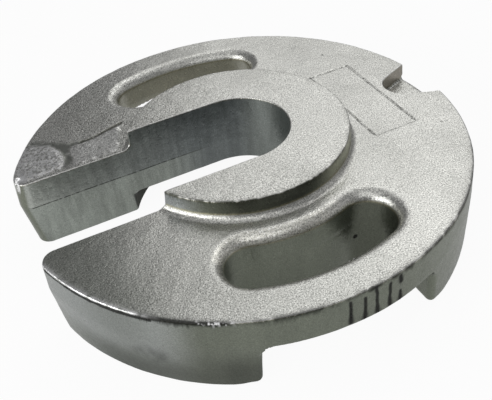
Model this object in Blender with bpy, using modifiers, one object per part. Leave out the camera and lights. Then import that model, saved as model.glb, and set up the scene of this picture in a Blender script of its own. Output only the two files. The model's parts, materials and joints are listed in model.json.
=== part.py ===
"""Slotted disc weight for loading the foot of a stage panel or a stand.

One zinc plated iron casting. A thick disc has a slot that slips sideways over
an upright tube, a raised ring round the slot's end that seats in the underside
of the next weight, a grip through each side with a finger gap under it, a notch
in the rim and a framed bare field. Metres, +Z up, slot mouth towards -X, grips
at +Y and -Y. It stands on z = 0, with the origin under the middle of its box.
"""
import math

import bmesh
import bpy

# Heights
FINGER_GAP_HEIGHT = 0.0273  # under the grips
HANDLE_THICKNESS = 0.0182   # of the disc over the finger gaps
RING_HEIGHT = 0.0112        # of the raised ring over the disc
SEAT_HEADROOM = 0.0030      # over a ring that sits in the underside
NOTCH_DEPTH = 0.0096        # below the disc's top

# Mould: every upright wall leans away from its parting plane, which lies just over the finger gaps
PARTING_STEP = 0.0020
DRAFT_ANGLE = math.radians(3.0)

# From the slot's middle out to the rim, at the parting plane. The ring is measured at its foot.
TUBE_DIAMETER = 0.0483
TUBE_CLEARANCE = 0.00375    # on each side of the tube
RING_WALL = 0.0340
SEAT_CLEARANCE = 0.0028     # round a ring that sits in the underside
SKIRT_WALL = 0.0118         # between the seat and the grips
GRIP_WIDTH = 0.0263
HANDLE_BAR = 0.02305        # between the grips and the rim

# Lengths in plan
GRIP_HALF_ANGLE = math.radians(20.2)
GAP_STEP = 0.0003           # the finger gap stops this far short of the grip's wall, which runs on down
NOTCH_LENGTH = 0.02535
NOTCH_ROOT_WIDTH = 0.0205
NOTCH_WALL_ANGLE = math.radians(22.2)

# Bare field with a grooved frame, between the ring and the notch
FRAME_DISTANCE = 0.0021     # from the fillet at the ring's foot
FRAME_LENGTH_X = 0.0266
FRAME_LENGTH_Y = 0.0731
FRAME_GROOVE_DEPTH = 0.0007

# Rounded edges and corners
RIM_EDGE_RADIUS = 0.0012
FOOT_EDGE_RADIUS = 0.0015   # at the rim
FOOT_END_RADIUS = 0.0045    # at the finger gap
TIP_RADIUS = 0.0075         # upright edges where the slot meets the rim
RING_EDGE_RADIUS = 0.0008
RING_FILLET = 0.0035
SEAT_FILLET = 0.0032
GRIP_LIP_RADIUS = 0.0060
GAP_ROOF_FILLET = 0.0040
GAP_EDGE_RADIUS = 0.0035    # upright edges where the finger gap meets the rim

# How finely the round shapes are cut, and how far cutters run past what they cut
TURNED_STEPS = 120
SLOT_END_STEPS = 30
CORNER_STEPS = 4
EDGE_STEPS = 3
GRIP_END_STEPS = 12
GRIP_SIDE_STEPS = 12
GAP_END_STEPS = 8
NOTCH_END_STEPS = 12
OVERSHOOT = 0.0010
NOTCH_OVERSHOOT = 0.0050
STEEPEST_LIP = math.radians(76.0)
SHARP_ANGLE = math.radians(32.0)
WELD_DISTANCE = 0.00001

# Worked out from the sizes above
GAP_ROOF = FINGER_GAP_HEIGHT
PLATE_TOP = GAP_ROOF + HANDLE_THICKNESS
RING_TOP = PLATE_TOP + RING_HEIGHT
PARTING_HEIGHT = GAP_ROOF + PARTING_STEP
SLOT_WIDTH = TUBE_DIAMETER + 2.0 * TUBE_CLEARANCE
RING_FOOT_RADIUS = SLOT_WIDTH / 2.0 + RING_WALL
SEAT_RADIUS = RING_FOOT_RADIUS + SEAT_CLEARANCE
SEAT_DEPTH = RING_HEIGHT + SEAT_HEADROOM
GRIP_INNER_RADIUS = SEAT_RADIUS + SKIRT_WALL
GRIP_CENTRE_RADIUS = GRIP_INNER_RADIUS + GRIP_WIDTH / 2.0
RIM_RADIUS = GRIP_INNER_RADIUS + GRIP_WIDTH + HANDLE_BAR

PART_NAME = "panel_weight"
CASTING_NAME = "weight_casting"
ZINC_COLOR = (0.56, 0.56, 0.53, 1.0)
ZINC_ROUGHNESS = 0.42
ZINC_METALLIC = 1.0


def lean(height):
    """How far a wall at this height stands back from its line at the parting plane."""
    return abs(height - PARTING_HEIGHT) * math.tan(DRAFT_ANGLE)


def rim_radius(height):
    """The rim's radius at this height, before its edges are rounded."""
    return RIM_RADIUS - lean(height)


def arc(centre, radius, start, end, steps):
    """Points along an arc, both ends included."""
    points = []
    for step in range(steps + 1):
        angle = start + (end - start) * step / steps
        points.append((centre[0] + radius * math.cos(angle), centre[1] + radius * math.sin(angle)))
    return points


def flare(distance, radius):
    """Sideways growth of a rounded lip this far below the face that it opens in.

    Close to the face, where the round would lie flat, the lip keeps its steepest
    slope instead, so that the cutter passes through the face at a clear angle.
    """
    if distance >= radius:
        return 0.0
    turn = math.asin(min(1.0, (radius - distance) / radius))
    if turn <= STEEPEST_LIP:
        return radius * (1.0 - math.cos(turn))
    last_distance = radius * (1.0 - math.sin(STEEPEST_LIP))
    last_growth = radius * (1.0 - math.cos(STEEPEST_LIP))
    return last_growth + (last_distance - distance) * math.tan(STEEPEST_LIP)


def lip_distances(radius):
    """How far below its face each ring of a rounded lip lies, from the face inwards."""
    distances = [-OVERSHOOT]
    for step in range(EDGE_STEPS + 1):
        turn = STEEPEST_LIP * (1.0 - step / EDGE_STEPS)
        distances.append(radius * (1.0 - math.sin(turn)))
    return distances


def mouth_side(half_width, rim, radius):
    """One side of a channel that runs straight out through the rim.

    Points are (outwards, sideways), from the straight wall round the edge that it
    makes with the rim and on to outside the rim.
    """
    centre_sideways = half_width + radius
    centre_outwards = math.sqrt((rim - radius) ** 2 - centre_sideways ** 2)
    last = math.atan2(centre_sideways, centre_outwards)
    points = arc((centre_outwards, centre_sideways), radius, -math.pi / 2.0, last, CORNER_STEPS)
    outside = rim + radius
    points.append((outside, outside * math.tan(last)))
    return points


def slot_outline(height):
    """The slot's plan at this height: a round end on the disc's axis and a mouth at -X."""
    half_width = SLOT_WIDTH / 2.0 + lean(height)
    side = mouth_side(half_width, rim_radius(height), TIP_RADIUS)
    upper = [(-outwards, sideways) for outwards, sideways in reversed(side)]
    lower = [(-outwards, -sideways) for outwards, sideways in side]
    end = arc((0.0, 0.0), half_width, math.pi / 2.0, -math.pi / 2.0, SLOT_END_STEPS)
    return upper + end + lower


def grip_outline(height):
    """The plan at this height of the grip at +Y: a slot bent round the disc's axis."""
    half_width = GRIP_WIDTH / 2.0 + lean(height) + flare(PLATE_TOP - height, GRIP_LIP_RADIUS)
    first = math.pi / 2.0 - GRIP_HALF_ANGLE
    last = math.pi / 2.0 + GRIP_HALF_ANGLE
    first_centre = (GRIP_CENTRE_RADIUS * math.cos(first), GRIP_CENTRE_RADIUS * math.sin(first))
    last_centre = (GRIP_CENTRE_RADIUS * math.cos(last), GRIP_CENTRE_RADIUS * math.sin(last))
    outer = arc((0.0, 0.0), GRIP_CENTRE_RADIUS + half_width, first, last, GRIP_SIDE_STEPS)
    inner = arc((0.0, 0.0), GRIP_CENTRE_RADIUS - half_width, last, first, GRIP_SIDE_STEPS)
    far_end = arc(last_centre, half_width, last, last + math.pi, GRIP_END_STEPS)
    near_end = arc(first_centre, half_width, first + math.pi, first + 2.0 * math.pi, GRIP_END_STEPS)
    return outer + far_end[1:-1] + inner + near_end[1:-1]


def gap_outline(height):
    """The plan at this height of the finger gap at +Y: the grip's inner side, carried out through the rim."""
    roof_fillet = flare(GAP_ROOF - height, GAP_ROOF_FILLET)
    foot_edge = flare(height, FOOT_END_RADIUS)
    half_width = GRIP_WIDTH / 2.0 - GAP_STEP + lean(height) - roof_fillet + foot_edge
    turn = math.pi / 2.0 - GRIP_HALF_ANGLE
    end_centre = (GRIP_CENTRE_RADIUS * math.cos(turn), GRIP_CENTRE_RADIUS * math.sin(turn))
    end = arc(end_centre, half_width, turn - math.pi, 0.0, GAP_END_STEPS)
    side = mouth_side(end_centre[0] + half_width, rim_radius(height), GAP_EDGE_RADIUS)
    right = end + [(sideways, outwards) for outwards, sideways in side]
    left = [(-x, y) for x, y in reversed(right)]
    wall = arc((0.0, 0.0), GRIP_CENTRE_RADIUS - half_width, math.pi - turn, turn, GRIP_SIDE_STEPS)
    return left + wall[1:-1] + right


def notch_outline(height):
    """The notch's plan at this height: a round root and walls that open towards the rim."""
    root = NOTCH_ROOT_WIDTH / 2.0 + lean(height)
    rim = rim_radius(PLATE_TOP)
    centre_x = rim - NOTCH_LENGTH + NOTCH_ROOT_WIDTH / 2.0
    outside_x = rim + NOTCH_OVERSHOOT
    reach = (outside_x - centre_x) * math.sin(NOTCH_WALL_ANGLE)
    outside = (root + reach) / math.cos(NOTCH_WALL_ANGLE)
    first = math.pi / 2.0 + NOTCH_WALL_ANGLE
    end = arc((centre_x, 0.0), root, first, 2.0 * math.pi - first, NOTCH_END_STEPS)
    return [(outside_x, outside)] + end + [(outside_x, -outside)]


def turned_profile():
    """The disc and its ring as (radius, height), from the top of the axis down the outside."""
    quarter = math.pi / 2.0
    ring_top_radius = RING_FOOT_RADIUS - RING_HEIGHT * math.tan(DRAFT_ANGLE)
    top_rim = rim_radius(PLATE_TOP)
    bottom_rim = rim_radius(0.0)
    seat_roof_radius = SEAT_RADIUS - SEAT_DEPTH * math.tan(DRAFT_ANGLE)

    profile = [(0.0, RING_TOP)]
    profile += arc((ring_top_radius - RING_EDGE_RADIUS, RING_TOP - RING_EDGE_RADIUS), RING_EDGE_RADIUS,
                   quarter, 0.0, EDGE_STEPS)
    profile += arc((RING_FOOT_RADIUS + RING_FILLET, PLATE_TOP + RING_FILLET), RING_FILLET,
                   math.pi, 3.0 * quarter, CORNER_STEPS)
    profile += arc((top_rim - RIM_EDGE_RADIUS, PLATE_TOP - RIM_EDGE_RADIUS), RIM_EDGE_RADIUS,
                   quarter, 0.0, EDGE_STEPS)
    profile.append((RIM_RADIUS, PARTING_HEIGHT))
    profile += arc((bottom_rim - FOOT_EDGE_RADIUS, FOOT_EDGE_RADIUS), FOOT_EDGE_RADIUS,
                   0.0, -quarter, CORNER_STEPS)
    profile.append((SEAT_RADIUS, 0.0))
    profile += arc((seat_roof_radius - SEAT_FILLET, SEAT_DEPTH - SEAT_FILLET), SEAT_FILLET,
                   0.0, quarter, CORNER_STEPS)
    profile.append((0.0, SEAT_DEPTH))
    return profile


def disc_shift():
    """How far the disc's axis stands from the origin along X.

    The mouth takes a piece off the rim at -X, so the middle of the box lies off the axis.
    """
    side = mouth_side(SLOT_WIDTH / 2.0, RIM_RADIUS, TIP_RADIUS)
    tip_reach = max(outwards for outwards, sideways in side[:-1])
    rim_reach = RIM_RADIUS * math.cos(math.pi / TURNED_STEPS)
    return (tip_reach - rim_reach) / 2.0


def clear_scene():
    for old in list(bpy.data.objects):
        bpy.data.objects.remove(old, do_unlink=True)


def new_collection(name):
    collection = bpy.data.collections.new(name)
    bpy.context.scene.collection.children.link(collection)
    return collection


def new_object(name, data, collection, parent):
    thing = bpy.data.objects.new(name, data)
    collection.objects.link(thing)
    thing.parent = parent
    return thing


def zinc_plate():
    """Zinc plated iron: pale, slightly warm grey metal."""
    material = bpy.data.materials.new("zinc_plate")
    material.use_nodes = True
    shader = material.node_tree.nodes["Principled BSDF"]
    shader.inputs["Base Color"].default_value = ZINC_COLOR
    shader.inputs["Roughness"].default_value = ZINC_ROUGHNESS
    shader.inputs["Metallic"].default_value = ZINC_METALLIC
    material.diffuse_color = ZINC_COLOR
    return material


def turned_disc(collection, parent):
    """The disc with its ring and seat, before anything is cut out of it."""
    profile = turned_profile()
    mesh = bpy.data.meshes.new(CASTING_NAME)
    points = [(radius, 0.0, height) for radius, height in profile]
    edges = [(index, index + 1) for index in range(len(points) - 1)]
    mesh.from_pydata(points, edges, [])
    casting = new_object(CASTING_NAME, mesh, collection, parent)
    # Half a step round, so that no turned edge runs through a corner of a cutter
    casting.rotation_euler.z = math.pi / TURNED_STEPS
    screw = casting.modifiers.new("turn", "SCREW")
    screw.steps = TURNED_STEPS
    screw.render_steps = TURNED_STEPS
    screw.use_merge_vertices = True
    screw.merge_threshold = WELD_DISTANCE
    return casting


def lofted_mesh(name, outline_at, heights):
    """A closed mesh through one outline at each height, lowest first, all with as many points."""
    builder = bmesh.new()
    rings = []
    for height in heights:
        rings.append([builder.verts.new((x, y, height)) for x, y in outline_at(height)])
    count = len(rings[0])
    for lower, upper in zip(rings, rings[1:]):
        for index in range(count):
            following = (index + 1) % count
            builder.faces.new((lower[index], lower[following], upper[following], upper[index]))
    builder.faces.new(rings[0])
    builder.faces.new(rings[-1])
    bmesh.ops.recalc_face_normals(builder, faces=builder.faces)
    mesh = bpy.data.meshes.new(name)
    builder.to_mesh(mesh)
    builder.free()
    return mesh


def hide_cutter(cutter):
    cutter.hide_render = True
    cutter.display_type = "WIRE"


def lofted_cutter(name, outline_at, heights, collection, parent):
    cutter = new_object(name, lofted_mesh(name, outline_at, heights), collection, parent)
    hide_cutter(cutter)
    return cutter


def slot_cutter(collection, parent):
    heights = [-OVERSHOOT, PARTING_HEIGHT, RING_TOP + OVERSHOOT]
    return lofted_cutter("slot_cutter", slot_outline, heights, collection, parent)


def opposite(cutter, name, collection, parent):
    """The same cutter half a turn round, on the other side of the disc."""
    other = new_object(name, cutter.data, collection, parent)
    other.rotation_euler.z = math.pi
    hide_cutter(other)
    return other


def grip_cutters(collection, parent):
    lips = [PLATE_TOP - distance for distance in reversed(lip_distances(GRIP_LIP_RADIUS))]
    heights = [-OVERSHOOT, PARTING_HEIGHT] + lips
    grip = lofted_cutter("grip_cutter", grip_outline, heights, collection, parent)
    return [grip, opposite(grip, "far_grip_cutter", collection, parent)]


def gap_cutters(collection, parent):
    feet = lip_distances(FOOT_END_RADIUS)
    roof = [GAP_ROOF - distance for distance in reversed(lip_distances(GAP_ROOF_FILLET)[1:])]
    gap = lofted_cutter("finger_gap_cutter", gap_outline, feet + roof + [GAP_ROOF], collection, parent)
    return [gap, opposite(gap, "far_finger_gap_cutter", collection, parent)]


def notch_cutter(collection, parent):
    heights = [PLATE_TOP - NOTCH_DEPTH, PLATE_TOP + OVERSHOOT]
    return lofted_cutter("notch_cutter", notch_outline, heights, collection, parent)


def frame_cutter(collection, parent):
    """The V-shaped groove round the bare field: a square wire, laid on its corner, along a rectangle."""
    near_x = RING_FOOT_RADIUS + RING_FILLET + FRAME_DISTANCE
    far_x = near_x + FRAME_LENGTH_X
    half_y = FRAME_LENGTH_Y / 2.0
    corners = [(near_x, -half_y), (far_x, -half_y), (far_x, half_y), (near_x, half_y)]
    curve = bpy.data.curves.new("frame_wire", "CURVE")
    curve.dimensions = "3D"
    curve.bevel_depth = FRAME_GROOVE_DEPTH
    curve.bevel_resolution = 0
    spline = curve.splines.new("POLY")
    spline.points.add(len(corners) - 1)
    spline.use_cyclic_u = True
    for point, (x, y) in zip(spline.points, corners):
        point.co = (x, y, PLATE_TOP, 1.0)
    wire = new_object("frame_wire", curve, collection, parent)
    bpy.context.view_layer.update()
    solid = bpy.data.meshes.new_from_object(wire.evaluated_get(bpy.context.evaluated_depsgraph_get()))
    bpy.data.objects.remove(wire, do_unlink=True)
    builder = bmesh.new()
    builder.from_mesh(solid)
    bmesh.ops.remove_doubles(builder, verts=builder.verts, dist=WELD_DISTANCE)
    bmesh.ops.recalc_face_normals(builder, faces=builder.faces)
    builder.to_mesh(solid)
    builder.free()
    cutter = new_object("frame_cutter", solid, collection, parent)
    hide_cutter(cutter)
    return cutter


def cut(casting, cutter):
    """Takes the cutter's shape out of the casting."""
    boolean = casting.modifiers.new(cutter.name, "BOOLEAN")
    boolean.operation = "DIFFERENCE"
    boolean.solver = "EXACT"
    boolean.object = cutter


def settle(casting):
    """Turns the cut shape into plain geometry, with its round walls shaded smooth."""
    bpy.context.view_layer.update()
    mesh = bpy.data.meshes.new_from_object(casting.evaluated_get(bpy.context.evaluated_depsgraph_get()))
    casting.modifiers.clear()
    casting.data = mesh
    mesh.name = casting.name
    mesh.shade_smooth()
    mesh.set_sharp_from_angle(angle=SHARP_ANGLE)


def build():
    clear_scene()
    parts = new_collection(PART_NAME)
    cutters = new_collection("cutters")
    axis = new_object("disc_axis", None, parts, None)
    axis.location.x = disc_shift()
    casting = turned_disc(parts, axis)
    casting.data.materials.append(zinc_plate())
    cut(casting, slot_cutter(cutters, axis))
    for cutter in gap_cutters(cutters, axis) + grip_cutters(cutters, axis):
        cut(casting, cutter)
    cut(casting, notch_cutter(cutters, axis))
    cut(casting, frame_cutter(cutters, axis))
    settle(casting)


build()
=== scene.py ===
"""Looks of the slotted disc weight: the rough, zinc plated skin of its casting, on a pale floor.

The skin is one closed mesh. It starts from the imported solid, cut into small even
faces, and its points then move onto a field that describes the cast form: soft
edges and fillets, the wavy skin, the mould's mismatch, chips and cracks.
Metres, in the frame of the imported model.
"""
import itertools
import json
import math

import bmesh
import bpy
import numpy as np
from mathutils import Matrix, Vector


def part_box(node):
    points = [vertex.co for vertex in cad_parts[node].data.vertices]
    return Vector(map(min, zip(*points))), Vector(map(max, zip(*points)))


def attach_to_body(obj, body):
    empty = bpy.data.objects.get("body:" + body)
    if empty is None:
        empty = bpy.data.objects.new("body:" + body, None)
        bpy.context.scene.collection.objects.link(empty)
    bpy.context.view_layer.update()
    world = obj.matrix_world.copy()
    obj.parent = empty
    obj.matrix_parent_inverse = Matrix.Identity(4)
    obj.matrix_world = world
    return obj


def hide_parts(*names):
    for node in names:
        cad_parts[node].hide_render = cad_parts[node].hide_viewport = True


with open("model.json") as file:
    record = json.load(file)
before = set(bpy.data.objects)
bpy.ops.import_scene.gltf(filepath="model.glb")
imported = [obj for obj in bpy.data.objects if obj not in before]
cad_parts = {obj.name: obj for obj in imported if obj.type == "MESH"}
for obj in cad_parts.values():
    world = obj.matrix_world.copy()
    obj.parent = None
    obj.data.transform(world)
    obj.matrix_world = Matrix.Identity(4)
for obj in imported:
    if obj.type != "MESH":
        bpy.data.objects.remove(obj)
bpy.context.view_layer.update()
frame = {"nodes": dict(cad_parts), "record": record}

MM = 0.001

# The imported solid's measures, which the cast form keeps
LOW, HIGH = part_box("weight_casting")
MOUNTS = {mount["name"]: mount for mount in frame["record"]["mounts"]}
PLATE_TOP = MOUNTS["plate_top"]["pos_m"][2]
RING_TOP = HIGH.z
RIM_RADIUS = (HIGH.y - LOW.y) / 2.0
AXIS_X = HIGH.x - RIM_RADIUS
DRAFT = math.tan(math.radians(3.0))
PARTING_HEIGHT = 29.3 * MM
GAP_ROOF = 27.3 * MM
SLOT_HALF_WIDTH = 27.9 * MM
TIP_RADIUS = 7.5 * MM
RING_FOOT_RADIUS = 61.9 * MM
SEAT_RADIUS = 64.7 * MM
SEAT_DEPTH = 14.2 * MM
GRIP_CENTRE_RADIUS = 89.65 * MM
GRIP_HALF_WIDTH = 13.15 * MM
GRIP_HALF_ANGLE = math.radians(20.2)
GAP_HALF_WIDTH = 12.85 * MM
NOTCH_FLOOR = PLATE_TOP - 9.6 * MM
NOTCH_CENTRE_X = 109.9 * MM
NOTCH_ROOT = 10.25 * MM
NOTCH_WALL_ANGLE = math.radians(22.2)

# The frame round the bare field
FIELD_NEAR_X = 67.3 * MM
FIELD_LENGTH_X = 26.6 * MM
FIELD_MIDDLE_Y = 1.75 * MM
FIELD_HALF_Y = 36.15 * MM
FRAME_WIDTH = 0.9 * MM
FRAME_DEPTH = 0.7 * MM

# Fillets and edges
RIM_EDGE = 1.2 * MM
WORN_RIM_EDGE = 0.5 * MM
FOOT_EDGE = 1.5 * MM
INNER_FOOT_EDGE = 0.6 * MM
FOOT_END = 4.3 * MM
RING_EDGE = 0.6 * MM
RING_FILLET = 3.5 * MM
SEAT_FILLET = 3.2 * MM
SEAT_EDGE = 1.6 * MM
SLOT_EDGE = 0.7 * MM
RING_CORNER = 1.5 * MM
GRIP_LIP = 6.2 * MM
GAP_FILLET = 4.0 * MM
GAP_INNER_EDGE = 81.0 * MM
HANDLE_EDGE = 0.8 * MM
NO_EDGE = 0.03 * MM
NOTCH_EDGE = 0.7 * MM
NOTCH_FLOOR_EDGE = 3.5 * MM
NOTCH_FILLET = 1.5 * MM

# What the mould and use made uneven
FAR_GRIP_TURN = math.radians(0.8)
NEAR_GRIP_TURN = math.radians(-0.7)
NOTCH_OFFSET_Y = 2.1 * MM
MISMATCH = (0.4 * MM, -1.3 * MM)
MISMATCH_HEIGHT = 25.0 * MM
FAR_ROOF_DROP = 2.2 * MM

# Cracks down the near handle's outer side: angle in degrees, top and bottom in millimetres
CRACKS = (
    (-92.7, 42.0, 29.5),
    (-89.4, 41.0, 28.5),
    (-86.6, 44.5, 28.6),
    (-83.3, 42.0, 29.0),
    (-80.4, 43.0, 39.5),
    (-80.4, 33.6, 28.0),
)
CRACK_WIDTH = 0.5 * MM
CRACK_DEPTH = 0.6 * MM

# Chips in the rim's top edge: angle in degrees, height, half length, depth and half height in millimetres
CHIPS = (
    (-87.9, 45.0, 2.6, 1.5, 1.7),
    (-122.2, 45.5, 0.9, 0.9, 0.7),
    (-118.1, 45.5, 1.2, 0.9, 0.8),
    (-71.0, 45.4, 1.1, 1.0, 0.9),
    (-68.7, 45.2, 1.3, 0.8, 1.2),
    (-66.3, 45.4, 0.8, 0.9, 0.7),
    (-103.5, 45.5, 0.9, 0.8, 0.6),
    (-138.4, 45.5, 1.2, 0.8, 0.8),
    (-146.0, 45.5, 0.8, 0.8, 0.7),
    (-57.0, 45.5, 1.0, 0.8, 0.7),
)
CHIP_EDGE = 0.25 * MM

# A ragged hollow line under the rim's top edge: first and last angle in degrees
UNDERCUT = (-166.0, -133.0)
UNDERCUT_HEIGHT = 43.5 * MM
UNDERCUT_WIDTH = 0.65 * MM

# Where the rim's top edge gets a finer mesh, at the painted highlights of small burrs
BURRS_MIDDLE = math.radians(-120.0)
BURRS_HALF_ANGLE = math.radians(4.5)

# Marks in the top, in plan, in millimetres from the disc's axis
FAR_LINE = ((-50.7, 57.2), (-60.5, 54.6), (-69.2, 51.9), (-77.0, 51.3))
FAR_DARK = (
    (-74.0, 52.2), (-84.0, 54.6), (-92.0, 60.6), (-102.0, 67.6), (-110.0, 62.0), (-103.0, 64.2),
    (-94.3, 58.9), (-90.0, 50.5), (-88.9, 43.1), (-91.3, 33.5), (-86.6, 34.0), (-84.9, 44.0),
    (-83.3, 49.0), (-78.0, 50.2),
)
FAR_TIP = ((-104.7, 65.5), (-94.3, 58.9), (-90.0, 50.5), (-88.9, 43.1), (-91.3, 33.5), (-119.0, 31.0), (-121.0, 45.0))
FAR_FLAT = ((-53.1, 54.6), (-69.2, 51.5), (-78.0, 50.2), (-83.3, 49.0), (-84.9, 44.0), (-86.5, 31.0), (-60.2, 31.5))
FAR_FACET = ((-117.6, 36.2), (-113.0, 41.4), (-113.3, 31.5), (-118.5, 31.0))
SCRATCH = ((104.4, -42.3), (107.7, -43.3))
PITS = ((30.9, -70.7, 18.0, 1.3), (88.0, 58.0, 45.6, 0.5))

# Mesh
VOXEL = 0.8 * MM
PROBE = 0.05 * MM
LONGEST_MOVE = 1.0 * MM
DECIMATED_FACES = 105000
LARGEST_SPACING = 3.0 * MM
EDGE_SPACING = 0.62 * MM
MARK_SPACING = 0.34 * MM
REFINING_ROUNDS = 4

LATTICE_SIDE = 64
LATTICE = np.random.default_rng(20).uniform(-1.0, 1.0, (LATTICE_SIDE,) * 3)


def noise(points, size, seed):
    """Smooth noise between -1 and 1, with features of about this size."""
    spot = points / size + seed * 7.31
    cell = np.floor(spot).astype(np.int64)
    part = spot - cell
    part = part * part * (3.0 - 2.0 * part)
    total = np.zeros(len(points))
    for corner in itertools.product((0, 1), repeat=3):
        index = (cell + corner) % LATTICE_SIDE
        weight = np.ones(len(points))
        for axis in range(3):
            weight *= part[:, axis] if corner[axis] else 1.0 - part[:, axis]
        total += LATTICE[index[:, 0], index[:, 1], index[:, 2]] * weight
    return total


def ramp(value, start, end):
    """From 0 at the start to 1 at the end, smoothly."""
    part = np.clip((value - start) / (end - start), 0.0, 1.0)
    return part * part * (3.0 - 2.0 * part)


def bump(value, middle, width):
    """A smooth hump of height 1 round the middle."""
    return np.exp(-((value - middle) / width) ** 2)


def round_max(first, second, radius):
    """Where two solids overlap, with their common edge rounded."""
    beyond_first = np.maximum(first + radius, 0.0)
    beyond_second = np.maximum(second + radius, 0.0)
    return np.minimum(-radius, np.maximum(first, second)) + np.hypot(beyond_first, beyond_second)


def round_min(first, second, radius):
    """Two solids joined, with a fillet between them."""
    return -round_max(-first, -second, radius)


def lean(z):
    """How far a wall at this height stands back from its line at the parting plane."""
    return np.abs(z - PARTING_HEIGHT) * DRAFT


def mismatch(z):
    """How far to one side the mould put the rim's lower half, at this height."""
    share = np.clip((PARTING_HEIGHT - z) / MISMATCH_HEIGHT, 0.0, 1.0)
    return MISMATCH[0] * share, MISMATCH[1] * share


def rim_distance(x, y, z):
    """Distance outside the rim's wall."""
    shift_x, shift_y = mismatch(z)
    return np.hypot(x - shift_x, y - shift_y) - RIM_RADIUS + lean(z)


def slot_distance(x, y, z):
    """Distance outside the slot: less than nothing in the slot."""
    across = np.where(x < 0.0, np.abs(y), np.hypot(x, y))
    return across - SLOT_HALF_WIDTH - lean(z)


def tip_distance(x, y, z):
    """Distance outside the round tips between the slot's walls and the rim, or far within elsewhere."""
    shift_x, shift_y = mismatch(z)
    side = np.sign(y)
    reach = RIM_RADIUS - lean(z) - TIP_RADIUS
    centre_y = SLOT_HALF_WIDTH + lean(z) + TIP_RADIUS
    to_rim_y = centre_y - side * shift_y
    to_rim_x = -np.sqrt(reach ** 2 - to_rim_y ** 2)
    out_x = x - shift_x - to_rim_x
    out_y = side * y - centre_y
    beyond_rim_tangent = to_rim_x * out_y - to_rim_y * out_x > 0.0
    at_tip = (out_x < 0.0) & beyond_rim_tangent
    return np.where(at_tip, np.hypot(out_x, out_y) - TIP_RADIUS, -1.0)


def grip_lean(radius, z):
    """The grips' lean, of which the wall inside the finger gaps keeps only a little."""
    steep = ramp(radius, 92.0 * MM, 80.0 * MM) * ramp(z, PARTING_HEIGHT, PARTING_HEIGHT - 4.0 * MM)
    return lean(z) * (1.0 - 1.4 * steep)


def grip_turn(y):
    """How far each grip is turned off the middle, towards +X."""
    return np.where(y > 0.0, FAR_GRIP_TURN, NEAR_GRIP_TURN)


def grip_distance(x, y, z):
    """Distance outside the two grips."""
    radius = np.hypot(x, y)
    past_end = np.maximum(np.abs(np.arctan2(x, np.abs(y)) - grip_turn(y)) - GRIP_HALF_ANGLE, 0.0)
    along = radius * np.sin(past_end)
    across = radius * np.cos(past_end) - GRIP_CENTRE_RADIUS
    return np.hypot(along, across) - GRIP_HALF_WIDTH - grip_lean(radius, z)


def gap_distance(x, y, z):
    """Distance outside the two finger gaps: the grips' inner sides, carried out through the rim."""
    radius = np.hypot(x, y)
    half_width = GAP_HALF_WIDTH + grip_lean(radius, z)
    angle = np.arctan2(x, np.abs(y)) - grip_turn(y) * ramp(radius, 114.0 * MM, 98.0 * MM)
    across = radius * np.abs(np.sin(angle))
    outwards = radius * np.cos(angle)
    centre_x = GRIP_CENTRE_RADIUS * math.sin(GRIP_HALF_ANGLE)
    centre_y = GRIP_CENTRE_RADIUS * math.cos(GRIP_HALF_ANGLE)
    at_end = (outwards < centre_y) & (np.abs(angle) > GRIP_HALF_ANGLE)
    end = np.hypot(across - centre_x, outwards - centre_y)
    side = np.maximum(across - centre_x, GRIP_CENTRE_RADIUS - radius)
    plan = np.where(at_end, end, side) - half_width
    drop = FAR_ROOF_DROP * ramp(y, 0.0, 10.0 * MM) * ramp(x, 0.0, -20.0 * MM)
    return round_max(plan, z - GAP_ROOF + drop, GAP_FILLET)


def notch_distance(x, y, z):
    """Distance outside the notch in the rim: a round root, and walls that open outwards."""
    out_x = x - NOTCH_CENTRE_X
    out_y = np.abs(y - NOTCH_OFFSET_Y)
    level = math.cos(NOTCH_WALL_ANGLE)
    steep = math.sin(NOTCH_WALL_ANGLE)
    wall = out_y * level - out_x * steep
    end = np.hypot(out_x, out_y)
    plan = np.where(out_x * level + out_y * steep > 0.0, wall, end) - NOTCH_ROOT - lean(z)
    return round_max(plan, NOTCH_FLOOR - z, NOTCH_FILLET)


def frame_strength(x, y):
    """How deep the frame is cut: most on its short side at +Y, least on the other one."""
    near_side = ramp(x, 72.0 * MM, 70.0 * MM)
    share = 0.8 - 0.45 * near_side * (1.0 - 0.8 * ramp(y, 0.0, -12.0 * MM))
    share += (1.0 - share) * ramp(y, 36.5 * MM, 37.5 * MM)
    return share * (1.0 - 0.6 * ramp(y, -32.5 * MM, -34.0 * MM))


def frame_distance(x, y):
    """Distance in plan from the line of the frame round the bare field."""
    middle_x = FIELD_NEAR_X + FIELD_LENGTH_X / 2.0
    over_x = np.abs(x - middle_x) - FIELD_LENGTH_X / 2.0
    over_y = np.abs(y - FIELD_MIDDLE_Y) - FIELD_HALF_Y
    outside = np.hypot(np.maximum(over_x, 0.0), np.maximum(over_y, 0.0))
    return np.abs(outside + np.minimum(np.maximum(over_x, over_y), 0.0))


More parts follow.
